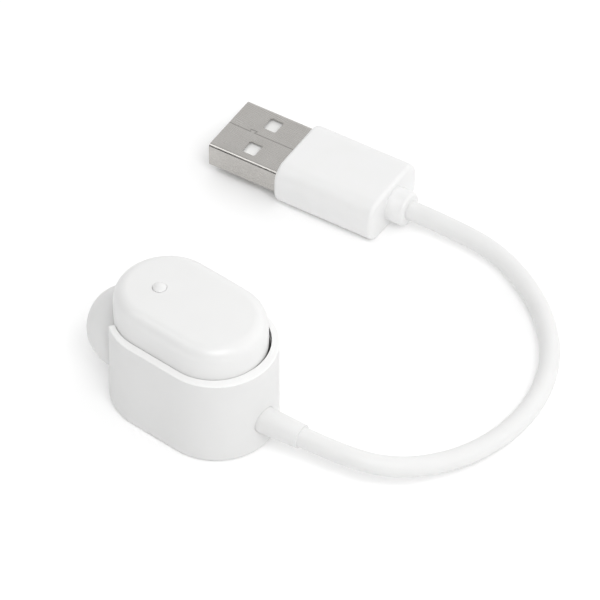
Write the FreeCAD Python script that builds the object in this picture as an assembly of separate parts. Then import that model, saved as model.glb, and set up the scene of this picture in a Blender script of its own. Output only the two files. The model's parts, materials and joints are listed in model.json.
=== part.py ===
"""Single-ear wireless earpiece docked in a charging cradle with a short captive USB-A lead.

Frame (millimetres): origin at the centre of the cradle's resting face, +Z up,
+X along the cradle's long axis towards the cable, -X towards the ear tip.
"""
import FreeCAD, Part
import math
import os

V = FreeCAD.Vector

# ---- cradle -------------------------------------------------------------------------
CRADLE_STRAIGHT = 4.5        # half of the straight side; both ends are half circles
CRADLE_RADIUS = 9.5          # outside end radius, so the cradle is 28 x 19
CRADLE_HEIGHT = 16.15
CRADLE_WALL = 1.2
CRADLE_FOOT_ROUND = 0.7      # rounding of the bottom outside edge
RIM_ROUND = 0.2
SLOT_HALF_ANGLE = 53.0       # degrees of end wall cut away each side of -X
SLOT_RADIUS = 7.3            # round bottom of the slot
SLOT_EDGE_ROUND = 0.15
INNER_RADIUS = CRADLE_RADIUS - CRADLE_WALL
FIT_GAP = 0.05               # gap between pieces that are glued or pressed together
POCKET_BOTTOM = 14.6         # above this the inside follows the earpiece's outline
POCKET_GAP = 0.08
POCKET_EASE = V(0.1, 0.45, 0)    # how much further the pocket reaches behind the earpiece

COVER_BOTTOM = 0.1
COVER_TOP = 1.3
FOOT_RADIUS = 7.2
FOOT_TOP = 0.6
DECK_BOTTOM = 3.2
DECK_TOP = 4.4
RING_TOP = 7.4
RING_GAP = 0.35              # guide ring to earpiece housing

HUMP_X = 9.4                 # start of the raised cable tunnel at the +X end
HUMP_HALF_WIDTH = 3.9
HUMP_TOP = 9.0
HUMP_WALL = 0.7

SCREW_X = 0.0
SCREW_Y = 5.8
SCREW_RADIUS = 0.6
SCREW_HEAD_RADIUS = 1.1
SCREW_HEAD_TOP = 1.05
SCREW_END = 3.7
BOSS_RADIUS = 1.4

BOARD_BOTTOM = 1.7
BOARD_TOP = 2.5
BOARD_BOX = (1.6, 10.8, 4.9)  # low x, high x, half width

CONTACT_X = 4.0
CONTACT_Y = 2.2
BARREL_RADIUS = 0.75
BARREL_BORE = 0.56
BARREL_TOP = 4.25
BARREL_FLOOR = 2.8
PLUNGER_RADIUS = 0.5
PLUNGER_BOTTOM = 3.55
PLUNGER_TOP = 4.45
SPRING_RADIUS = 0.46
SPRING_BORE = 0.3

MAGNET_X = -2.6
MAGNET_Y = 3.5
MAGNET_RADIUS = 1.5

# ---- cable and its strain relief -----------------------------------------------------
CABLE_DIAMETER = 3.15
CABLE_Z = 5.6
RELIEF_YAW = 6.5             # degrees, the sleeve leans towards the loop
RELIEF_ROOT_RADIUS = 2.15
RELIEF_TIP_RADIUS = 1.9
RELIEF_LENGTH = 6.5
RELIEF_BORE = 1.1
FLANGE_RADIUS = 2.6
FLANGE_X = (11.6, 12.4)
WIRE_RADIUS = 0.4
WIRE_SPACING = 0.5

# ---- earpiece -------------------------------------------------------------------------
POD_X = -0.37
POD_STRAIGHT = 4.51
POD_RADIUS = 8.2
POD_BOTTOM = 15.6
POD_TOP = 21.95
POD_EDGE = 2.3
POD_CROWN = 150.0            # radius of the very shallow crown of the top
POD_WALL = 1.0
PLATE_TOP = 16.6

HOUSING_X = 0.7
HOUSING_STRAIGHT = 2.0
HOUSING_RADIUS = 6.3
HOUSING_WALL = 0.9
HOUSING_BOTTOM = 4.5
HOUSING_ROUND = 0.8

NOZZLE_Z = 8.6
NOZZLE_RADIUS = 2.3
NOZZLE_BORE = 1.5
NOZZLE_INNER_X = -5.2
NOZZLE_TIP_X = -14.0
NOZZLE_LIP_RADIUS = 2.5
BOSS_FACE_X = -8.6
NOZZLE_BOSS_RADIUS = 4.0

TIP_RADIUS = 6.7             # round silhouette of the soft ear tip
TIP_CENTRE_X = -12.4
TIP_THICKNESS = 0.7
TIP_SKIRT_X = -9.9
TIP_CORE_RADIUS = 3.4
TIP_POCKET_RADIUS = 2.58
TIP_POCKET_END_X = -14.4
TIP_BORE = 1.6

BUTTON_X = -5.7
BUTTON_Y = -0.8
BUTTON_RADIUS = 1.08
BUTTON_HOLE = 1.14
BUTTON_FLANGE_RADIUS = 1.7
BUTTON_BOTTOM = 19.75
BUTTON_PROUD = 0.05           # straight side that stands out of the shell
BUTTON_DOME = 0.4             # height of the domed cap above that
TACT_SIZE = 3.0
TACT_HEIGHT = 0.8
TACT_TIP_RADIUS = 0.75
TACT_TIP_HEIGHT = 0.2

POD_BOARD_BOTTOM = 17.7
POD_BOARD_TOP = 18.4
POD_BOARD_RADIUS = 6.9

BATTERY_X = (-1.4, 6.2)
BATTERY_HALF_WIDTH = 3.8
BATTERY_Z = (6.9, 14.9)
BATTERY_CORNER = 0.8
LEAD_X = 5.0
LEAD_Y = 1.0
LEAD_RADIUS = 0.35
DRIVER_X = (-4.6, -2.0)
DRIVER_RADIUS = 3.0
DRIVER_MOUTH_RADIUS = 2.3
DRIVER_MOUTH_DEPTH = 0.3
GASKET_RADIUS = 2.9
GASKET_BORE = 2.35
PAD_RADIUS = 0.9
PAD_HEIGHT = 1.1
NOZZLE_FLANGE_RADIUS = 3.3
NOZZLE_FLANGE = 0.6
PORT_X = 9.8                  # sound port below the microphone
PORT_RADIUS = 0.4
RADIO_CHIP = (0.0, 4.0, -2.0, 2.0)
RADIO_CHIP_HEIGHT = 0.8
ANTENNA = (5.0, 8.0, 3.0, 4.2)
ANTENNA_HEIGHT = 1.0
STATUS_LED = (-9.0, -8.2, -0.4, 0.4)
STATUS_LED_HEIGHT = 0.5
MICROPHONE = (8.8, 10.8, -0.8, 0.8)

# ---- USB-A plug, in its own frame: x from the tip towards the cable ------------------
PLUG_PLACE = V(-19.8, 47.7, 3.85)
PLUG_YAW = 7.5
SHELL_TIP = -11.7
SHELL_END = 4.0
SHELL_WIDTH = 12.0
SHELL_HEIGHT = 4.5
SHELL_WALL = 0.3
SHELL_CORNER = 0.6
WINDOW_LENGTH = 2.35
WINDOW_WIDTH = 2.7
WINDOW_CORNER = 0.3
WINDOW_X = -5.4
WINDOW_Y = 3.1
TONGUE_BOTTOM = 0.1
TONGUE_GAP = 0.3             # under the shell's upper wall
MOULD_END = 11.0
GRIP_START = 0.8
GRIP_END = 18.6
GRIP_WIDTH = 14.25
GRIP_HEIGHT = 7.7
GRIP_SIDE_ROUND = 3.0
GRIP_END_ROUND = 0.7
COLLAR_RADIUS = 2.8
COLLAR_END = 21.6
COLLAR_ROUND = 0.5

# Route of the cable's centre line, from the plug's collar to the cradle's sleeve.
# The first and last runs lie on the collar's and the sleeve's own axes.
CABLE_ROUTE = [
    V(1.615, 50.519, 3.85),
    V(9.348, 51.537, 3.85),
    V(18.20, 52.55, 2.70),
    V(29.00, 48.60, 1.70),
    V(37.60, 40.40, 1.62),
    V(41.50, 30.00, 1.62),
    V(41.10, 19.50, 1.75),
    V(38.05, 11.25, 2.65),
    V(33.90, 5.08, 4.20),
    V(27.860, 1.579, 5.60),
    V(20.458, 0.736, 5.60),
]


# ---- small helpers ----------------------------------------------------------------------
def stadium(half_straight, radius, low, high, centre_x=0.0):
    """Upright solid with straight sides along X and half-round ends."""
    left = centre_x - half_straight
    right = centre_x + half_straight
    front = Part.makeLine(V(left, -radius, low), V(right, -radius, low))
    nose = Part.Arc(V(right, -radius, low), V(right + radius, 0, low), V(right, radius, low))
    back = Part.makeLine(V(right, radius, low), V(left, radius, low))
    tail = Part.Arc(V(left, radius, low), V(left - radius, 0, low), V(left, -radius, low))
    outline = Part.Wire([front, nose.toShape(), back, tail.toShape()])
    return Part.Face(outline).extrude(V(0, 0, high - low))


def block(low_x, high_x, low_y, high_y, low_z, high_z):
    return Part.makeBox(high_x - low_x, high_y - low_y, high_z - low_z, V(low_x, low_y, low_z))


def rod(radius, start, end):
    """Round bar between two points."""
    along = end - start
    return Part.makeCylinder(radius, along.Length, start, along)


def level_edges(shape, height):
    """Edges that lie flat at one height."""
    box_of = [(edge, edge.BoundBox) for edge in shape.Edges]
    return [e for e, b in box_of if abs(b.ZMin - height) < 1e-4 and abs(b.ZMax - height) < 1e-4]


def rounded(shape, height, radius):
    """Round every edge that lies flat at one height."""
    return shape.makeFillet(radius, level_edges(shape, height))


def arc_radius(before, corner, after):
    """Largest tidy arc at a corner of a route: 0.45 of the shorter run sets its tangents."""
    inward = before - corner
    outward = after - corner
    turn = math.pi - inward.getAngle(outward)
    return 0.45 * min(inward.Length, outward.Length) / math.tan(turn / 2)


def tube(points, radius):
    """Round bar along straight runs joined by tangent arcs; returns the solid and its length."""
    edges = []
    start = points[0]
    for before, corner, after in zip(points, points[1:], points[2:]):
        inward = (before - corner).normalize()
        outward = (after - corner).normalize()
        setback = 0.45 * min((before - corner).Length, (after - corner).Length)
        first = corner + inward * setback
        last = corner + outward * setback
        half_angle = inward.getAngle(outward) / 2
        bisector = (inward + outward).normalize()
        bend = setback * math.tan(half_angle)
        middle = corner + bisector * (math.hypot(setback, bend) - bend)
        edges.append(Part.LineSegment(start, first).toShape())
        edges.append(Part.Arc(first, middle, last).toShape())
        start = last
    edges.append(Part.LineSegment(start, points[-1]).toShape())
    path = Part.Wire(edges)
    section = Part.Wire(Part.makeCircle(radius, points[0], points[1] - points[0]))
    return path.makePipeShell([section], True, True), path.Length


def plug_place(shape):
    """Move a plug piece from the plug's own frame to where the plug lies."""
    placed = shape.copy()
    placed.rotate(V(0, 0, 0), V(0, 0, 1), PLUG_YAW)
    placed.translate(PLUG_PLACE)
    return placed


# ---- cradle ---------------------------------------------------------------------------
def slot_cutter(radius):
    """Space that the ear tip passes through: open at the top, round at the bottom."""
    reach = 20.0
    half = math.radians(SLOT_HALF_ANGLE)
    apex = V(-CRADLE_STRAIGHT, 0, 0)
    left = apex + V(-reach * math.cos(half), reach * math.sin(half), 0)
    right = apex + V(-reach * math.cos(half), -reach * math.sin(half), 0)
    fan = Part.Face(Part.makePolygon([apex, left, right, apex])).extrude(V(0, 0, 2 * CRADLE_HEIGHT))
    above = block(-30, 0, -20, 20, NOZZLE_Z, 2 * CRADLE_HEIGHT)
    drum = rod(radius, V(-30, 0, NOZZLE_Z), V(-CRADLE_STRAIGHT, 0, NOZZLE_Z))
    return fan.common(above.fuse(drum).removeSplitter())


def slot_edges(wall):
    """Edges where the slot breaks through the inside and outside of the end wall."""
    found = []
    for edge in wall.Edges:
        box = edge.BoundBox
        if box.XMax < -CRADLE_STRAIGHT and box.ZLength > 0.3 and box.ZMin > CRADLE_FOOT_ROUND:
            found.append(edge)
    return found


def earpiece_pocket():
    """Mouth of the cradle: a close fit in front of the earpiece, looser behind it."""
    outline = POD_RADIUS + POCKET_GAP
    close = stadium(POD_STRAIGHT, outline, POCKET_BOTTOM, CRADLE_HEIGHT + 1, POD_X)
    loose = close.copy()
    loose.translate(POCKET_EASE)
    return close.fuse(loose)


def cradle_shell():
    """Outer wall, open at the top and the bottom, with the ear tip's slot and the cable hole."""
    outer = rounded(stadium(CRADLE_STRAIGHT, CRADLE_RADIUS, 0, CRADLE_HEIGHT), 0, CRADLE_FOOT_ROUND)
    outer = rounded(outer, CRADLE_HEIGHT, RIM_ROUND)
    bore = stadium(CRADLE_STRAIGHT, INNER_RADIUS, -1, POCKET_BOTTOM)
    wall = outer.cut(bore.fuse(earpiece_pocket())).cut(slot_cutter(SLOT_RADIUS))
    wall = wall.makeFillet(SLOT_EDGE_ROUND, slot_edges(wall))
    return wall.cut(rod(RELIEF_ROOT_RADIUS + FIT_GAP, V(11, 0, CABLE_Z), V(16, 0, CABLE_Z)))


def cradle_cover():
    """Bottom plate with a recess for the foot pad and holes for the two screws."""
    plate = stadium(CRADLE_STRAIGHT, INNER_RADIUS - FIT_GAP, COVER_BOTTOM, COVER_TOP)
    plate = plate.cut(stadium(CRADLE_STRAIGHT, FOOT_RADIUS + FIT_GAP, -1, FOOT_TOP))
    for y in (-SCREW_Y, SCREW_Y):
        plate = plate.cut(rod(SCREW_HEAD_RADIUS + 0.1, V(SCREW_X, y, 0), V(SCREW_X, y, SCREW_HEAD_TOP)))
        plate = plate.cut(rod(SCREW_RADIUS + 0.1, V(SCREW_X, y, 0), V(SCREW_X, y, 2)))
    return plate


def foot_pad():
    return rounded(stadium(CRADLE_STRAIGHT, FOOT_RADIUS, 0, FOOT_TOP), 0, 0.2)


def base_screws():
    screws = []
    for y in (-SCREW_Y, SCREW_Y):
        head = rod(SCREW_HEAD_RADIUS, V(SCREW_X, y, FOOT_TOP + 0.02), V(SCREW_X, y, SCREW_HEAD_TOP))
        shank = rod(SCREW_RADIUS, V(SCREW_X, y, SCREW_HEAD_TOP), V(SCREW_X, y, SCREW_END))
        screws.append(head.fuse(shank).removeSplitter())
    return Part.makeCompound(screws)


def contact_deck():
    """Floor of the pocket: guide ring, cable tunnel, screw posts and holes for the contacts."""
    rim = INNER_RADIUS - FIT_GAP
    deck = stadium(CRADLE_STRAIGHT, rim, DECK_BOTTOM, DECK_TOP)
    ring = stadium(CRADLE_STRAIGHT, rim, DECK_TOP, RING_TOP)
    tunnel = stadium(CRADLE_STRAIGHT, rim, DECK_BOTTOM, HUMP_TOP)
    tunnel = tunnel.common(block(HUMP_X, 20, -HUMP_HALF_WIDTH, HUMP_HALF_WIDTH, DECK_BOTTOM, HUMP_TOP))
    body = deck.fuse(ring)
    body = body.cut(stadium(HOUSING_STRAIGHT, HOUSING_RADIUS + RING_GAP, DECK_TOP, 20, HOUSING_X))
    body = body.fuse(tunnel)
    hollow_x = HUMP_X + HUMP_WALL
    hollow_y = HUMP_HALF_WIDTH - HUMP_WALL
    body = body.cut(block(hollow_x, 20, -hollow_y, hollow_y, 0, HUMP_TOP - HUMP_WALL))
    body = body.cut(rod(SLOT_RADIUS, V(-30, 0, NOZZLE_Z), V(HOUSING_X - HOUSING_RADIUS, 0, NOZZLE_Z)))
    for y in (-SCREW_Y, SCREW_Y):
        body = body.fuse(rod(BOSS_RADIUS, V(SCREW_X, y, COVER_TOP), V(SCREW_X, y, DECK_BOTTOM)))
        body = body.cut(rod(SCREW_RADIUS + 0.02, V(SCREW_X, y, 0), V(SCREW_X, y, SCREW_END + 0.1)))
    for y in (-CONTACT_Y, CONTACT_Y):
        body = body.cut(rod(BARREL_RADIUS + 0.02, V(CONTACT_X, y, 0), V(CONTACT_X, y, 6)))
    return body.removeSplitter()


def cradle_board():
    low_x, high_x, half_width = BOARD_BOX
    return block(low_x, high_x, -half_width, half_width, BOARD_BOTTOM, BOARD_TOP)


def charge_chip():
    return block(6.6, 8.6, -1.2, 1.2, BOARD_TOP, BOARD_TOP + 0.6)


def pogo_barrel(y):
    outer = rod(BARREL_RADIUS, V(CONTACT_X, y, BOARD_TOP), V(CONTACT_X, y, BARREL_TOP))
    return outer.cut(rod(BARREL_BORE, V(CONTACT_X, y, BARREL_FLOOR), V(CONTACT_X, y, BARREL_TOP + 1)))


def pogo_plunger(y):
    pin = rod(PLUNGER_RADIUS, V(CONTACT_X, y, PLUNGER_BOTTOM), V(CONTACT_X, y, PLUNGER_TOP))
    return rounded(pin, PLUNGER_TOP, 0.2)


def pogo_spring(y):
    low = V(CONTACT_X, y, BARREL_FLOOR)
    high = V(CONTACT_X, y, PLUNGER_BOTTOM)
    return rod(SPRING_RADIUS, low, high).cut(rod(SPRING_BORE, low, high))


def magnet_pair(low, high):
    discs = []
    for y in (-MAGNET_Y, MAGNET_Y):
        disc = rod(MAGNET_RADIUS, V(MAGNET_X, y, low), V(MAGNET_X, y, high))
        discs.append(disc)
    return Part.makeCompound(discs)


# ---- cable ------------------------------------------------------------------------------
def relief_direction():
    yaw = math.radians(RELIEF_YAW)
    return V(math.cos(yaw), math.sin(yaw), 0)


def strain_relief():
    """Tapered sleeve where the cable enters the cradle, flanged inside the wall."""
    wall_x = CRADLE_STRAIGHT + CRADLE_RADIUS
    root = V(wall_x, 0, CABLE_Z)
    along = relief_direction()
    flange = rod(FLANGE_RADIUS, V(FLANGE_X[0], 0, CABLE_Z), V(FLANGE_X[1], 0, CABLE_Z))
    neck = rod(RELIEF_ROOT_RADIUS, V(FLANGE_X[1], 0, CABLE_Z), root)
    knuckle = Part.makeSphere(RELIEF_ROOT_RADIUS, root)
    sleeve = Part.makeCone(RELIEF_ROOT_RADIUS, RELIEF_TIP_RADIUS, RELIEF_LENGTH, root, along)
    body = neck.fuse(knuckle).fuse(sleeve).fuse(flange)
    body = body.cut(rod(RELIEF_BORE, V(11, 0, CABLE_Z), root))
    body = body.cut(Part.makeSphere(RELIEF_BORE, root))
    return body.cut(rod(RELIEF_BORE, root, root + along * (RELIEF_LENGTH + 1)))


def cradle_wire(side):
    """One conductor from the cable's end, through the sleeve, down to the board."""
    root = V(CRADLE_STRAIGHT + CRADLE_RADIUS, 0, CABLE_Z)
    along = relief_direction()
    across = V(-along.y, along.x, 0) * (side * WIRE_SPACING)
    points = [
        root + along * (RELIEF_LENGTH - 0.05) + across,
        root + V(0, side * WIRE_SPACING, 0),
        V(11.3, side * WIRE_SPACING, CABLE_Z),
        V(10.55, side * 0.9, BOARD_TOP + 0.9),
        V(10.5, side * 0.9, BOARD_TOP),
    ]
    return tube(points, WIRE_RADIUS)[0]


def cable_jacket():
    """Plain tube along the free cable, with its bend radii and volume checked."""
    for before, corner, after in zip(CABLE_ROUTE, CABLE_ROUTE[1:], CABLE_ROUTE[2:]):
        print("cable bend radius %.1f mm" % arc_radius(before, corner, after))
    solid, length = tube(CABLE_ROUTE, CABLE_DIAMETER / 2)
    expected = math.pi * CABLE_DIAMETER ** 2 / 4 * length
    print("cable length %.1f mm, volume %.1f mm3, expected %.1f mm3" % (length, solid.Volume, expected))
    return solid


# ---- earpiece -----------------------------------------------------------------------------
def pod_top_shell():
    """Pebble-shaped cap: shallow crown, generously rounded top edge, hollow below."""
    prism = stadium(POD_STRAIGHT, POD_RADIUS, POD_BOTTOM, POD_TOP + 1, POD_X)
    crown = Part.makeSphere(POD_CROWN, V(POD_X, 0, POD_TOP - POD_CROWN))
    solid = prism.common(crown)
    top_edges = [e for e in solid.Edges if e.BoundBox.ZMin > PLATE_TOP]
    solid = solid.makeFillet(POD_EDGE, top_edges)
    ceiling = POD_TOP - POD_WALL - 0.25
    hollow = stadium(POD_STRAIGHT, POD_RADIUS - POD_WALL, POD_BOTTOM - 1, ceiling, POD_X)
    solid = solid.cut(rounded(hollow, ceiling, POD_EDGE - POD_WALL))
    return solid.cut(rod(BUTTON_HOLE, V(BUTTON_X, BUTTON_Y, 18), V(BUTTON_X, BUTTON_Y, 25)))


def pod_bottom_shell():
    """Closing plate with the narrower housing that stands in the cradle's pocket."""
    plate = stadium(POD_STRAIGHT, POD_RADIUS - POD_WALL - FIT_GAP, POD_BOTTOM, PLATE_TOP, POD_X)
    housing = stadium(HOUSING_STRAIGHT, HOUSING_RADIUS, HOUSING_BOTTOM, PLATE_TOP, HOUSING_X)
    housing = rounded(housing, HOUSING_BOTTOM, HOUSING_ROUND)
    boss = rod(NOZZLE_BOSS_RADIUS, V(BOSS_FACE_X, 0, NOZZLE_Z), V(-3, 0, NOZZLE_Z))
    floor = HOUSING_BOTTOM + HOUSING_WALL
    inner = HOUSING_RADIUS - HOUSING_WALL
    hollow = stadium(HOUSING_STRAIGHT, inner, floor, PLATE_TOP + 1, HOUSING_X)
    body = plate.fuse(housing).fuse(boss).cut(hollow)
    body = body.cut(rod(NOZZLE_RADIUS + 0.02, V(-12, 0, NOZZLE_Z), V(-3, 0, NOZZLE_Z)))
    body = body.cut(rod(PORT_RADIUS, V(PORT_X, 0, 15), V(PORT_X, 0, 18)))
    for y in (-CONTACT_Y, CONTACT_Y):
        body = body.cut(rod(PAD_RADIUS + 0.02, V(CONTACT_X, y, 4), V(CONTACT_X, y, 6)))
    return body.removeSplitter()


def nozzle():
    """Sound tube with a seating flange and a retaining lip for the ear tip."""
    tube_wall = rod(NOZZLE_RADIUS, V(NOZZLE_TIP_X, 0, NOZZLE_Z), V(NOZZLE_INNER_X, 0, NOZZLE_Z))
    seat = V(BOSS_FACE_X, 0, NOZZLE_Z)
    flange = rod(NOZZLE_FLANGE_RADIUS, seat - V(NOZZLE_FLANGE, 0, 0), seat)
    lip = rod(NOZZLE_LIP_RADIUS, V(NOZZLE_TIP_X + 0.4, 0, NOZZLE_Z), V(NOZZLE_TIP_X + 1.3, 0, NOZZLE_Z))
    bore = rod(NOZZLE_BORE, V(NOZZLE_TIP_X - 1, 0, NOZZLE_Z), V(NOZZLE_INNER_X + 1, 0, NOZZLE_Z))
    return tube_wall.fuse(flange).fuse(lip).cut(bore).removeSplitter()


def nozzle_mesh():
    return rod(NOZZLE_BORE - 0.01, V(NOZZLE_TIP_X + 0.1, 0, NOZZLE_Z), V(NOZZLE_TIP_X + 0.3, 0, NOZZLE_Z))


def ear_tip():
    """Soft mushroom-shaped tip: thin round dome over a thicker core that grips the nozzle."""
    centre = V(TIP_CENTRE_X, 0, NOZZLE_Z)
    ball = Part.makeSphere(TIP_RADIUS, centre)
    inside = Part.makeSphere(TIP_RADIUS - TIP_THICKNESS, centre)
    beyond_skirt = block(TIP_SKIRT_X, 0, -10, 10, -5, 25)
    dome = ball.cut(inside).cut(beyond_skirt)
    core = rod(TIP_CORE_RADIUS, V(-17.5, 0, NOZZLE_Z), V(TIP_SKIRT_X, 0, NOZZLE_Z))
    front = ball.common(block(-25, -17.2, -TIP_RADIUS, TIP_RADIUS, 0, 20))
    body = dome.fuse(core).fuse(front)
    body = body.cut(rod(TIP_BORE, V(-25, 0, NOZZLE_Z), V(0, 0, NOZZLE_Z)))
    pocket = rod(TIP_POCKET_RADIUS, V(TIP_POCKET_END_X, 0, NOZZLE_Z), V(0, 0, NOZZLE_Z))
    return body.cut(pocket).removeSplitter()


def button():
    """Small domed cap with a flange that keeps it in the shell."""
    crown_drop = ((BUTTON_X - POD_X) ** 2 + BUTTON_Y ** 2) / (2 * POD_CROWN)
    shoulder = V(BUTTON_X, BUTTON_Y, POD_TOP - crown_drop + BUTTON_PROUD)
    foot = V(BUTTON_X, BUTTON_Y, BUTTON_BOTTOM)
    sphere_radius = (BUTTON_RADIUS ** 2 + BUTTON_DOME ** 2) / (2 * BUTTON_DOME)
    sphere = Part.makeSphere(sphere_radius, shoulder + V(0, 0, BUTTON_DOME - sphere_radius))
    dome = rod(BUTTON_RADIUS, shoulder, shoulder + V(0, 0, BUTTON_DOME + 1)).common(sphere)
    flange = rod(BUTTON_FLANGE_RADIUS, foot, foot + V(0, 0, 0.5))
    return rod(BUTTON_RADIUS, foot, shoulder).fuse(dome).fuse(flange).removeSplitter()


def tact_switch():
    half = TACT_SIZE / 2
    low = V(BUTTON_X, BUTTON_Y, POD_BOARD_TOP + TACT_HEIGHT)
    body = block(BUTTON_X - half, BUTTON_X + half, BUTTON_Y - half, BUTTON_Y + half, POD_BOARD_TOP, low.z)
    tip = rod(TACT_TIP_RADIUS, low, low + V(0, 0, TACT_TIP_HEIGHT))
    return body.fuse(tip).removeSplitter()


def pod_board():
    return stadium(POD_STRAIGHT, POD_BOARD_RADIUS, POD_BOARD_BOTTOM, POD_BOARD_TOP, POD_X)


def battery():
    cell = block(*BATTERY_X, -BATTERY_HALF_WIDTH, BATTERY_HALF_WIDTH, *BATTERY_Z)
    upright = [e for e in cell.Edges if e.BoundBox.ZLength > 1]
    return cell.makeFillet(BATTERY_CORNER, upright)


def battery_leads():
    leads = []
    for y in (-LEAD_Y, LEAD_Y):
        leads.append(rod(LEAD_RADIUS, V(LEAD_X, y, BATTERY_Z[1]), V(LEAD_X, y, POD_BOARD_BOTTOM)))
    return Part.makeCompound(leads)


def speaker_driver():
    front, back = DRIVER_X
    can = rod(DRIVER_RADIUS, V(front, 0, NOZZLE_Z), V(back, 0, NOZZLE_Z))
    mouth = rod(DRIVER_MOUTH_RADIUS, V(front - 1, 0, NOZZLE_Z), V(front + DRIVER_MOUTH_DEPTH, 0, NOZZLE_Z))
    return can.cut(mouth)


def driver_gasket():
    outer = rod(GASKET_RADIUS, V(NOZZLE_INNER_X, 0, NOZZLE_Z), V(DRIVER_X[0], 0, NOZZLE_Z))
    return outer.cut(rod(GASKET_BORE, V(NOZZLE_INNER_X - 1, 0, NOZZLE_Z), V(DRIVER_X[0] + 1, 0, NOZZLE_Z)))


def charge_pad(y):
    return rod(PAD_RADIUS, V(CONTACT_X, y, HOUSING_BOTTOM), V(CONTACT_X, y, HOUSING_BOTTOM + PAD_HEIGHT))


# ---- USB plug, in its own frame -------------------------------------------------------------
def usb_shell():
    """Folded steel shell, open at the tip, with two windows top and bottom."""
    half_width = SHELL_WIDTH / 2
    half_height = SHELL_HEIGHT / 2
    outer = block(SHELL_TIP, SHELL_END, -half_width, half_width, -half_height, half_height)
    lengthwise = [e for e in outer.Edges if e.BoundBox.XLength > 1]
    outer = outer.makeFillet(SHELL_CORNER, lengthwise)
    in_width = half_width - SHELL_WALL
    in_height = half_height - SHELL_WALL
    inner = block(SHELL_TIP - 1, SHELL_END + 1, -in_width, in_width, -in_height, in_height)
    lengthwise = [e for e in inner.Edges if e.BoundBox.XLength > 1]
    shell = outer.cut(inner.makeFillet(SHELL_CORNER - SHELL_WALL, lengthwise))
    half_x = WINDOW_LENGTH / 2
    half_y = WINDOW_WIDTH / 2
    for y in (-WINDOW_Y, WINDOW_Y):
        window = block(WINDOW_X - half_x, WINDOW_X + half_x, y - half_y, y + half_y, -5, 5)
        corners = [e for e in window.Edges if e.BoundBox.ZLength > 1]
        shell = shell.cut(window.makeFillet(WINDOW_CORNER, corners))
    return shell


def usb_tongue():
    """Insulating tongue just under the upper wall of the shell."""
    half_width = SHELL_WIDTH / 2 - SHELL_WALL - 0.3
    top = SHELL_HEIGHT / 2 - SHELL_WALL - TONGUE_GAP
    tongue = block(SHELL_TIP + 0.4, SHELL_END, -half_width, half_width, TONGUE_BOTTOM, top)
    front = []
    for edge in tongue.Edges:
        box = edge.BoundBox
        if abs(box.XMax - SHELL_TIP - 0.4) < 1e-4 and box.YLength > 1:
            front.append(edge)
    return tongue.makeChamfer(0.4, front)


def usb_contacts():
    strips = []
    for y, reach in ((-3.5, 10.6), (-1.0, 9.6), (1.0, 9.6), (3.5, 10.6)):
        start = SHELL_END - 4.0 - reach
        strips.append(block(start, SHELL_END, y - 0.5, y + 0.5, TONGUE_BOTTOM - 0.2, TONGUE_BOTTOM))
    return Part.makeCompound(strips)


def usb_inner_mould():
    """Hard pre-moulding that holds the wires behind the shell."""
    mould = block(SHELL_END, MOULD_END, -5.0, 5.0, -2.2, 2.2)
    return mould.makeFillet(0.6, [e for e in mould.Edges if e.BoundBox.XLength > 1])


def usb_grip():
    """Over-moulded handle: flat top and bottom, big rounded sides, nearly square ends."""
    half_width = GRIP_WIDTH / 2
    half_height = GRIP_HEIGHT / 2
    body = block(GRIP_START, GRIP_END, -half_width, half_width, -half_height, half_height)
    body = body.makeFillet(GRIP_SIDE_ROUND, [e for e in body.Edges if e.BoundBox.XLength > 1])
    ends = []
    for edge in body.Edges:
        if edge.BoundBox.XLength < 1e-4:
            ends.append(edge)
    body = body.makeFillet(GRIP_END_ROUND, ends)
    half_shell_width = SHELL_WIDTH / 2
    half_shell_height = SHELL_HEIGHT / 2
    pocket = block(0, SHELL_END, -half_shell_width, half_shell_width, -half_shell_height, half_shell_height)
    pocket = pocket.makeFillet(SHELL_CORNER, [e for e in pocket.Edges if e.BoundBox.XLength > 1])
    body = body.cut(pocket).cut(usb_inner_mould())
    return body.cut(rod(1.45, V(MOULD_END - 0.5, 0, 0), V(GRIP_END + 1, 0, 0)))


def plug_collar():
    """Short round sleeve between the grip and the cable."""
    sleeve = rod(COLLAR_RADIUS, V(GRIP_END, 0, 0), V(COLLAR_END, 0, 0))
    end_edges = [e for e in sleeve.Edges if abs(e.BoundBox.XMin - COLLAR_END) < 1e-4]
    sleeve = sleeve.makeFillet(COLLAR_ROUND, end_edges)
    return sleeve.cut(rod(1.45, V(GRIP_END - 1, 0, 0), V(COLLAR_END + 1, 0, 0)))


def plug_wire(side):
    y = side * WIRE_SPACING
    return rod(WIRE_RADIUS, V(MOULD_END, y, 0), V(COLLAR_END - FIT_GAP, y, 0))


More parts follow.
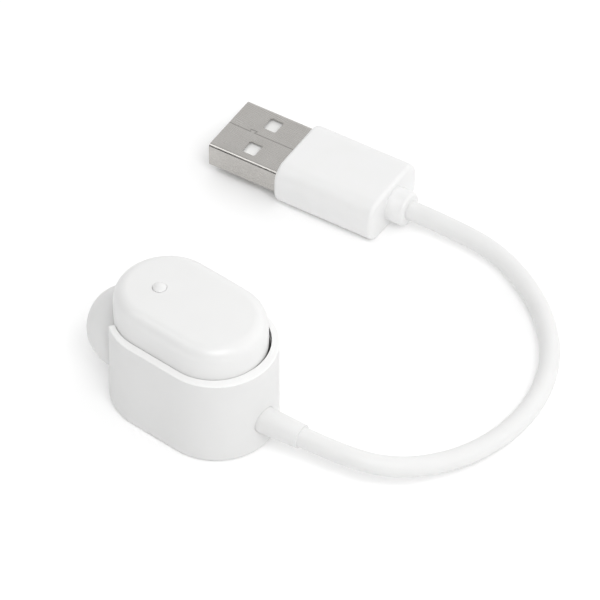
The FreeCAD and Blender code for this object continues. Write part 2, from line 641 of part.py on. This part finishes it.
def build_nodes():
    """Every node of the object by name."""
    nodes = {
        "cradle_shell": cradle_shell(),
        "cradle_cover": cradle_cover(),
        "foot_pad": foot_pad(),
        "base_screws": base_screws(),
        "contact_deck": contact_deck(),
        "cradle_board": cradle_board(),
        "charge_chip": charge_chip(),
        "cradle_magnets": magnet_pair(COVER_TOP + 0.3, DECK_BOTTOM - FIT_GAP),
        "strain_relief": strain_relief(),
        "cable_jacket": cable_jacket(),
        "pod_top_shell": pod_top_shell(),
        "pod_bottom_shell": pod_bottom_shell(),
        "nozzle": nozzle(),
        "nozzle_mesh": nozzle_mesh(),
        "ear_tip": ear_tip(),
        "function_button": button(),
        "tact_switch": tact_switch(),
        "pod_board": pod_board(),
        "radio_chip": block(*RADIO_CHIP, POD_BOARD_TOP, POD_BOARD_TOP + RADIO_CHIP_HEIGHT),
        "chip_antenna": block(*ANTENNA, POD_BOARD_TOP, POD_BOARD_TOP + ANTENNA_HEIGHT),
        "status_led": block(*STATUS_LED, POD_BOARD_TOP, POD_BOARD_TOP + STATUS_LED_HEIGHT),
        "microphone": block(*MICROPHONE, PLATE_TOP + 0.1, POD_BOARD_BOTTOM),
        "battery": battery(),
        "battery_leads": battery_leads(),
        "speaker_driver": speaker_driver(),
        "driver_gasket": driver_gasket(),
        "pod_magnets": magnet_pair(HOUSING_BOTTOM + HOUSING_WALL + FIT_GAP, 6.25),
        "usb_shell": plug_place(usb_shell()),
        "usb_tongue": plug_place(usb_tongue()),
        "usb_contacts": plug_place(usb_contacts()),
        "usb_inner_mould": plug_place(usb_inner_mould()),
        "usb_grip": plug_place(usb_grip()),
        "plug_collar": plug_place(plug_collar()),
    }
    for name, side in (("front", -1), ("back", 1)):
        y = side * CONTACT_Y
        nodes["pogo_barrel_" + name] = pogo_barrel(y)
        nodes["pogo_plunger_" + name] = pogo_plunger(y)
        nodes["pogo_spring_" + name] = pogo_spring(y)
        nodes["charge_pad_" + name] = charge_pad(y)
    for name, side in (("red", -1), ("black", 1)):
        nodes["cradle_wire_" + name] = cradle_wire(side)
        nodes["plug_wire_" + name] = plug_place(plug_wire(side))
    return nodes


os.makedirs("parts", exist_ok=True)
for node_name, node_shape in build_nodes().items():
    node_shape.exportStep("parts/" + node_name + ".step")
    print("%-22s solids %d  valid %s  volume %.2f"
          % (node_name, len(node_shape.Solids), node_shape.isValid(), node_shape.Volume))
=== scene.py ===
"""Looks of a single-ear wireless earpiece docked in its USB charging cradle.

Every object is in metres, in the CAD model's own frame.
"""
import json
import math

import bmesh
import bpy
from mathutils import Matrix, Vector


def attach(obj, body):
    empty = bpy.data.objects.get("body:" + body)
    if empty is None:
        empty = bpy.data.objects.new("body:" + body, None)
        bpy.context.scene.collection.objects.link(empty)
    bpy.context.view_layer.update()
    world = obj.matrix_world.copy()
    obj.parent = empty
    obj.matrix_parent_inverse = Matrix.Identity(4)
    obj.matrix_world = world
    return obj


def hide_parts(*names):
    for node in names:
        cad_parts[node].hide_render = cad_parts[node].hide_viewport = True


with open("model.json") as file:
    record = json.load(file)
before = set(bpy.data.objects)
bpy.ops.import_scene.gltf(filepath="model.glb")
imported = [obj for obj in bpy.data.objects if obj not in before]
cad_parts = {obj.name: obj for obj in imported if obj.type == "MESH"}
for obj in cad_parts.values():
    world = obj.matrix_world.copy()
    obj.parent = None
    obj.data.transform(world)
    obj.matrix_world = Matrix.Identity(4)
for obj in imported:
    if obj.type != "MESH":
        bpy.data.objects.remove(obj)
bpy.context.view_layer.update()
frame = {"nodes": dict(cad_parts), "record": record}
nodes = frame["nodes"]

MM = 0.001

# ---- camera and cable come first --------------------------------------------------------
VIEW_AZIMUTH = math.radians(39.21)
VIEW_ELEVATION = math.radians(45.02)
VIEW_DISTANCE = 0.9
VIEW_TARGET = Vector((-1.57, 27.29, 0.0)) * MM
LENS = 350.0
SENSOR = 36.0

CABLE_DIAMETER = 3.15 * MM
# Control points of the cable's centre line in millimetres, from the plug's collar to the
# cradle's sleeve: part.py's own route. The end runs lie on the collar's and the sleeve's axes.
CABLE_ROUTE = [
    (1.615, 50.519, 3.85),
    (9.348, 51.537, 3.85),
    (18.20, 52.55, 2.70),
    (29.00, 48.60, 1.70),
    (37.60, 40.40, 1.62),
    (41.50, 30.00, 1.62),
    (41.10, 19.50, 1.75),
    (38.05, 11.25, 2.65),
    (33.90, 5.08, 4.20),
    (27.860, 1.579, 5.60),
    (20.458, 0.736, 5.60),
]

PLUG_PLACE = Vector((-19.8, 47.7, 3.85)) * MM
PLUG_YAW = math.radians(7.5)
SHELL_TOP = 2.25 * MM            # above the plug's centre line
# Folded seam of the plug's shell, in millimetres along and across the plug, with its dovetail.
SEAM_PATH = [(-11.66, 0.1), (-7.7, 0.0), (-7.95, 0.5), (-6.75, 0.5), (-7.0, 0.0), (0.75, 0.0)]
SEAM_COLOURS = ((0.27, 0.26, 0.25), (0.22, 0.21, 0.20))
SEAM_WIDTH = 0.11 * MM
SEAM_SUNK = 0.05 * MM
SEAM_PROUD = 0.006 * MM
RIM_HIGHLIGHT_BAND = (15.97 * MM, 16.10 * MM)     # heights between which the rim's top fades into a painted highlight


def add_camera():
    """Long lens, three-quarter view from the cable side."""
    back = Vector((
        math.sin(VIEW_AZIMUTH) * math.cos(VIEW_ELEVATION),
        -math.cos(VIEW_AZIMUTH) * math.cos(VIEW_ELEVATION),
        math.sin(VIEW_ELEVATION),
    ))
    data = bpy.data.cameras.new("view_camera")
    data.lens = LENS
    data.sensor_width = SENSOR
    data.clip_start = 0.01
    data.clip_end = 20.0
    camera = bpy.data.objects.new("view_camera", data)
    camera.location = VIEW_TARGET + back * VIEW_DISTANCE
    camera.rotation_euler = (-back).to_track_quat("-Z", "Y").to_euler()
    bpy.context.scene.collection.objects.link(camera)
    bpy.context.scene.camera = camera


def add_cable():
    """Round jacket on one smooth line, from the cradle's sleeve to the plug's collar."""
    points = [Vector(point) * MM for point in reversed(CABLE_ROUTE)]
    curve = bpy.data.curves.new("cable", "CURVE")
    curve.dimensions = "3D"
    curve.bevel_depth = 1.0      # multiplied by each point's radius
    curve.bevel_resolution = 12
    curve.resolution_u = 24
    curve.use_fill_caps = True
    spline = curve.splines.new("NURBS")
    spline.points.add(len(points) - 1)
    for control, point in zip(spline.points, points):
        control.co = (*point, 1.0)
        control.radius = CABLE_DIAMETER / 2
    spline.order_u = 3
    spline.use_endpoint_u = True
    spline.use_smooth = True
    cable = bpy.data.objects.new("cable", curve)
    bpy.context.scene.collection.objects.link(cable)
    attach(cable, "cradle")
    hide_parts("cable_jacket")
    return cable, points[0]


add_camera()
cable, cable_exit = add_cable()


# ---- materials ----------------------------------------------------------------------------
MIX_FIRST, MIX_SECOND = 6, 7     # colour inputs of the mix node
MIX_RESULT = 2                   # its colour output


def new_material(name):
    """An empty node material with its shader and object coordinates."""
    material = bpy.data.materials.new(name)
    material.use_nodes = True
    tree = material.node_tree
    shader = tree.nodes["Principled BSDF"]
    place = tree.nodes.new("ShaderNodeTexCoord")
    return material, tree, shader, place.outputs["Object"]


def noise(tree, place, scale, detail=2.0, stretch=(1.0, 1.0, 1.0), turn=0.0):
    """Noise whose scale is in features per metre, optionally stretched and turned about Z."""
    mapping = tree.nodes.new("ShaderNodeMapping")
    mapping.inputs["Rotation"].default_value = (0.0, 0.0, turn)
    mapping.inputs["Scale"].default_value = stretch
    texture = tree.nodes.new("ShaderNodeTexNoise")
    texture.inputs["Scale"].default_value = scale
    texture.inputs["Detail"].default_value = detail
    tree.links.new(place, mapping.inputs["Vector"])
    tree.links.new(mapping.outputs["Vector"], texture.inputs["Vector"])
    return texture.outputs["Fac"]


def spread(tree, value, low, high):
    """Maps a noise value onto a range."""
    node = tree.nodes.new("ShaderNodeMapRange")
    node.inputs["From Min"].default_value = 0.3
    node.inputs["From Max"].default_value = 0.7
    node.inputs["To Min"].default_value = low
    node.inputs["To Max"].default_value = high
    tree.links.new(value, node.inputs["Value"])
    return node.outputs["Result"]


def tint(tree, value, first, second):
    """Mixes two colours by a noise value."""
    node = tree.nodes.new("ShaderNodeMix")
    node.data_type = "RGBA"
    node.inputs[MIX_FIRST].default_value = (*first, 1.0)
    node.inputs[MIX_SECOND].default_value = (*second, 1.0)
    tree.links.new(value, node.inputs["Factor"])
    return node.outputs[MIX_RESULT]


def relief(tree, value, depth, strength=1.0):
    """Turns a noise value into surface relief of that depth in metres."""
    node = tree.nodes.new("ShaderNodeBump")
    node.inputs["Distance"].default_value = depth
    node.inputs["Strength"].default_value = strength
    tree.links.new(value, node.inputs["Height"])
    return node.outputs["Normal"]


def moulded(name, colour, shade, rough, grain=9000.0, depth=0.000001, coat=0.0, soft=0.0):
    """Moulded plastic or rubber: faint mottling, uneven gloss and a fine moulded grain."""
    material, tree, shader, place = new_material(name)
    mottle = spread(tree, noise(tree, place, 260.0, 4.0), 0.0, 1.0)
    tree.links.new(tint(tree, mottle, colour, shade), shader.inputs["Base Color"])
    gloss = spread(tree, noise(tree, place, 700.0, 3.0), rough - 0.04, rough + 0.05)
    tree.links.new(gloss, shader.inputs["Roughness"])
    tree.links.new(relief(tree, noise(tree, place, grain, 2.0), depth), shader.inputs["Normal"])
    shader.inputs["IOR"].default_value = 1.5
    shader.inputs["Coat Weight"].default_value = coat
    shader.inputs["Coat Roughness"].default_value = 0.12
    shader.inputs["Subsurface Weight"].default_value = soft
    shader.inputs["Subsurface Radius"].default_value = (1.0, 0.95, 0.9)
    shader.inputs["Subsurface Scale"].default_value = 0.0008
    return material


def metal(name, colour, shade, rough, stretch=(1.0, 1.0, 1.0), turn=0.0,
          scale=3000.0, depth=0.000002):
    """Plated metal with fine rolling or turning lines."""
    material, tree, shader, place = new_material(name)
    lines = noise(tree, place, scale, 3.0, stretch, turn)
    cloud = spread(tree, noise(tree, place, 350.0, 3.0), 0.0, 1.0)
    tree.links.new(tint(tree, cloud, colour, shade), shader.inputs["Base Color"])
    tree.links.new(spread(tree, lines, rough - 0.06, rough + 0.08), shader.inputs["Roughness"])
    tree.links.new(relief(tree, lines, depth), shader.inputs["Normal"])
    shader.inputs["Metallic"].default_value = 1.0
    return material


def paint_highlight_above(material, heights, colour):
    """Fades a material to a lighter colour between two heights, as a painted highlight along an edge."""
    tree = material.node_tree
    base = tree.nodes["Principled BSDF"].inputs["Base Color"]
    place = tree.nodes.new("ShaderNodeTexCoord")
    split = tree.nodes.new("ShaderNodeSeparateXYZ")
    fade = tree.nodes.new("ShaderNodeMapRange")
    fade.inputs["From Min"].default_value = heights[0]
    fade.inputs["From Max"].default_value = heights[1]
    mix = tree.nodes.new("ShaderNodeMix")
    mix.data_type = "RGBA"
    mix.inputs[MIX_SECOND].default_value = (*colour, 1.0)
    tree.links.new(place.outputs["Object"], split.inputs["Vector"])
    tree.links.new(split.outputs["Z"], fade.inputs["Value"])
    tree.links.new(fade.outputs["Result"], mix.inputs["Factor"])
    tree.links.new(base.links[0].from_socket, mix.inputs[MIX_FIRST])
    tree.links.new(mix.outputs[MIX_RESULT], base)


CRADLE_WHITE = ((0.775, 0.775, 0.77), (0.765, 0.765, 0.76), 0.42, 7000.0, 0.0000012)
# painted highlight: the lighter white painted on the top of the cradle's rim
RIM_PAINTED_HIGHLIGHT = (0.89, 0.89, 0.885)
ALONG_PLUG = (0.05, 1.0, 1.0)    # stretches noise into lines along the plug

# Finish of every material slot in the record. The values are, in order: colour, shade, roughness,
# grain in features per metre, depth of the grain in metres, clear coat and softness.
MATERIALS = {
    "white_plastic": moulded("cradle_white", *CRADLE_WHITE),
    "white_gloss": moulded(
        "earpiece_white", (0.81, 0.81, 0.805), (0.80, 0.80, 0.795), 0.32, 6000.0, 0.0000006, 0.1),
    "silicone": moulded(
        "ear_tip_silicone", (0.80, 0.80, 0.795), (0.785, 0.785, 0.78), 0.55,
        12000.0, 0.0000008, 0.0, 0.2),
    "grey_rubber": moulded(
        "foot_rubber", (0.40, 0.40, 0.41), (0.36, 0.36, 0.37), 0.75, 4000.0, 0.000006),
    "cable_white": moulded(
        "cable_jacket_white", (0.81, 0.81, 0.805), (0.795, 0.795, 0.79), 0.5,
        6000.0, 0.000002, 0.0, 0.1),
    "plug_white": moulded(
        "plug_grip_white", (0.84, 0.84, 0.84), (0.83, 0.83, 0.825), 0.40, 6000.0, 0.000001, 0.0, 0.05),
    "steel": metal(
        "plug_steel", (0.52, 0.505, 0.485), (0.49, 0.475, 0.455), 0.25,
        ALONG_PLUG, -PLUG_YAW, 7000.0, 0.0000012),
    "nickel": metal("nickel_plate", (0.68, 0.67, 0.64), (0.62, 0.61, 0.58), 0.28),
    "gold_contact": metal("contact_gold", (0.86, 0.62, 0.25), (0.80, 0.56, 0.22), 0.24),
    "circuit_board": moulded("solder_mask", (0.02, 0.16, 0.07), (0.015, 0.12, 0.05), 0.35),
    "black_plastic": moulded("chip_black", (0.02, 0.02, 0.022), (0.03, 0.03, 0.03), 0.55),
    "ceramic": moulded("antenna_ceramic", (0.62, 0.60, 0.55), (0.56, 0.54, 0.50), 0.5),
    "led_lens": moulded("light_lens", (0.85, 0.85, 0.70), (0.80, 0.80, 0.66), 0.15),
    "battery_wrap": moulded("battery_foil", (0.50, 0.52, 0.54), (0.44, 0.46, 0.48), 0.32),
    "copper_wire": metal("tinned_wire", (0.72, 0.42, 0.28), (0.66, 0.38, 0.26), 0.3),
    "black_foam": moulded("foam_black", (0.03, 0.03, 0.03), (0.05, 0.05, 0.05), 0.9, 4000.0, 0.00003),
    "white_tongue": moulded("tongue_white", (0.88, 0.88, 0.87), (0.84, 0.84, 0.83), 0.5),
    "wire_red": moulded("wire_red", (0.50, 0.03, 0.02), (0.42, 0.02, 0.02), 0.4),
    "wire_black": moulded("wire_black", (0.02, 0.02, 0.02), (0.03, 0.03, 0.03), 0.4),
}


def dress_cad_nodes():
    """Gives every CAD node the procedural material of its slot in the record."""
    for entry in frame["record"]["subparts"]:
        mesh = nodes[entry["node"]].data
        mesh.materials.clear()
        mesh.materials.append(MATERIALS[entry["material_slot"]])
    # The cradle shell gets its own copy of the white, with a painted highlight fading in along the top
    # of its rim.
    rim = moulded("cradle_white_painted_rim_highlight", *CRADLE_WHITE)
    paint_highlight_above(rim, RIM_HIGHLIGHT_BAND, RIM_PAINTED_HIGHLIGHT)
    nodes["cradle_shell"].data.materials[0] = rim


def ribbon(name, path, width, low, high):
    """Closed strip of that width along a path of (x, y) points, between two heights."""
    made = bmesh.new()
    rings = []
    for index, point in enumerate(path):
        before = path[max(index - 1, 0)]
        after = path[min(index + 1, len(path) - 1)]
        into = (Vector(point) - Vector(before)) if index else (Vector(after) - Vector(point))
        out = (Vector(after) - Vector(point)) if index < len(path) - 1 else into
        normals = [Vector((-way.y, way.x)).normalized() for way in (into, out)]
        mitre = (normals[0] + normals[1]).normalized()
        side = mitre * (width / 2 / max(mitre.dot(normals[0]), 0.3))
        left, right = Vector(point) + side, Vector(point) - side
        corners = [(left, low), (right, low), (right, high), (left, high)]
        rings.append([made.verts.new((*spot, height)) for spot, height in corners])
    for ring, following in zip(rings, rings[1:]):
        for corner in range(4):
            turn = (corner + 1) % 4
            made.faces.new((ring[corner], ring[turn], following[turn], following[corner]))
    made.faces.new(rings[0])
    made.faces.new(reversed(rings[-1]))
    bmesh.ops.recalc_face_normals(made, faces=made.faces)
    mesh = bpy.data.meshes.new(name)
    made.to_mesh(mesh)
    made.free()
    piece = bpy.data.objects.new(name, mesh)
    bpy.context.scene.collection.objects.link(piece)
    return piece


def add_shell_seam():
    """Dark line where the plug's folded sheet meets itself, with its dovetail lock."""
    path = [(x * MM, y * MM) for x, y in SEAM_PATH]
    low, high = SHELL_TOP - SEAM_SUNK, SHELL_TOP + SEAM_PROUD
    seam = ribbon("usb_shell_seam", path, SEAM_WIDTH, low, high)
    seam.data.transform(Matrix.Translation(PLUG_PLACE) @ Matrix.Rotation(PLUG_YAW, 4, "Z"))
    seam.data.materials.append(metal("seam_shadow", *SEAM_COLOURS, 0.4))
    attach(seam, "cradle")
    return seam


dress_cad_nodes()
seam = add_shell_seam()
cable.data.materials.append(MATERIALS["cable_white"])


# ---- stage ----------------------------------------------------------------------------------
FLOOR_SIDES = 72
# Radius and height, in metres, of the rings from the flat middle to the raised rim.
FLOOR_PROFILE = [(2.6, 0.0), (2.9, 0.012), (3.15, 0.05), (3.35, 0.13), (3.48, 0.26), (3.55, 0.42)]
FLOOR_GLOW = 0.09


def add_floor():
    """Round pale floor whose rim sweeps up, so that low views have no horizon line."""
    made = bmesh.new()
    rings = []
    for radius, height in FLOOR_PROFILE:
        angles = [math.tau * step / FLOOR_SIDES for step in range(FLOOR_SIDES)]
        spots = [(radius * math.cos(a), radius * math.sin(a), height) for a in angles]
        rings.append([made.verts.new(spot) for spot in spots])
    made.faces.new(rings[0])
    for ring, outer in zip(rings, rings[1:]):
        for step in range(FLOOR_SIDES):
            turn = (step + 1) % FLOOR_SIDES
            made.faces.new((ring[step], outer[step], outer[turn], ring[turn]))
    for face in made.faces:
        face.smooth = len(face.verts) == 4
    mesh = bpy.data.meshes.new("floor")
    made.to_mesh(mesh)
    made.free()
    floor = bpy.data.objects.new("floor", mesh)
    bpy.context.scene.collection.objects.link(floor)
    material, tree, shader, place = new_material("pale_floor")
    haze = spread(tree, noise(tree, place, 12.0, 2.0), 0.0, 1.0)
    tree.links.new(tint(tree, haze, (0.93, 0.93, 0.93), (0.94, 0.94, 0.94)), shader.inputs["Base Color"])
    shader.inputs["Roughness"].default_value = 0.9
    shader.inputs["Specular IOR Level"].default_value = 0.1
    shader.inputs["Emission Color"].default_value = (1.0, 1.0, 1.0, 1.0)
    shader.inputs["Emission Strength"].default_value = FLOOR_GLOW
    mesh.materials.append(material)


def add_softbox(name, place, power):
    data = bpy.data.lights.new(name, "AREA")
    data.shape = "SQUARE"
    data.size = SOFTBOX_SIZE
    data.energy = power
    light = bpy.data.objects.new(name, data)
    light.location = place
    direction = Vector(SOFTBOX_AIM) - Vector(place)
    light.rotation_euler = direction.to_track_quat("-Z", "Y").to_euler()
    bpy.context.scene.collection.objects.link(light)


SOFTBOX_SIZE = 0.5
SOFTBOX_AIM = (0.01, 0.025, 0.0)
SOFTBOXES = [                    # name, place in metres, power in watts
    ("front_softbox", (0.45, -0.30, 0.75), 3.5),
    ("left_softbox", (-0.35, -0.35, 0.80), 1.3),
]

# Studio surroundings: how bright each wall of white is, and the direction it stands in.
RIGHT = (0.775, 0.632, 0.0)
BEHIND = (-0.632, 0.775, 0.0)
FRONT = (0.632, -0.775, 0.0)
UP = (0.0, 0.0, 1.0)
SURROUNDINGS = [(0.65, UP), (1.45, RIGHT), (1.1, BEHIND), (0.12, FRONT)]


def math_node(tree, operation, first, second):
    node = tree.nodes.new("ShaderNodeMath")
    node.operation = operation
    for socket, value in zip(node.inputs, (first, second)):
        if isinstance(value, float):
            socket.default_value = value
        else:
            tree.links.new(value, socket)
    return node.outputs[0]


def add_world():
    """White walls that fade into each other, brightest at the right and behind."""
    world = bpy.data.worlds.new("studio")
    world.use_nodes = True
    tree = world.node_tree
    background = tree.nodes["Background"]
    background.inputs["Color"].default_value = (1.0, 1.0, 1.0, 1.0)
    ray = tree.nodes.new("ShaderNodeTexCoord").outputs["Generated"]
    total = None
    for strength, direction in SURROUNDINGS:
        facing = tree.nodes.new("ShaderNodeVectorMath")
        facing.operation = "DOT_PRODUCT"
        facing.inputs[1].default_value = direction
        tree.links.new(ray, facing.inputs[0])
        lit = math_node(tree, "MAXIMUM", facing.outputs["Value"], 0.0)
        glow = math_node(tree, "MULTIPLY", math_node(tree, "MULTIPLY", lit, lit), strength)
        total = glow if total is None else math_node(tree, "ADD", total, glow)
    tree.links.new(total, background.inputs["Strength"])
    bpy.context.scene.world = world


add_floor()
add_world()
for softbox in SOFTBOXES:
    add_softbox(*softbox)
bpy.context.scene.view_settings.view_transform = "Standard"
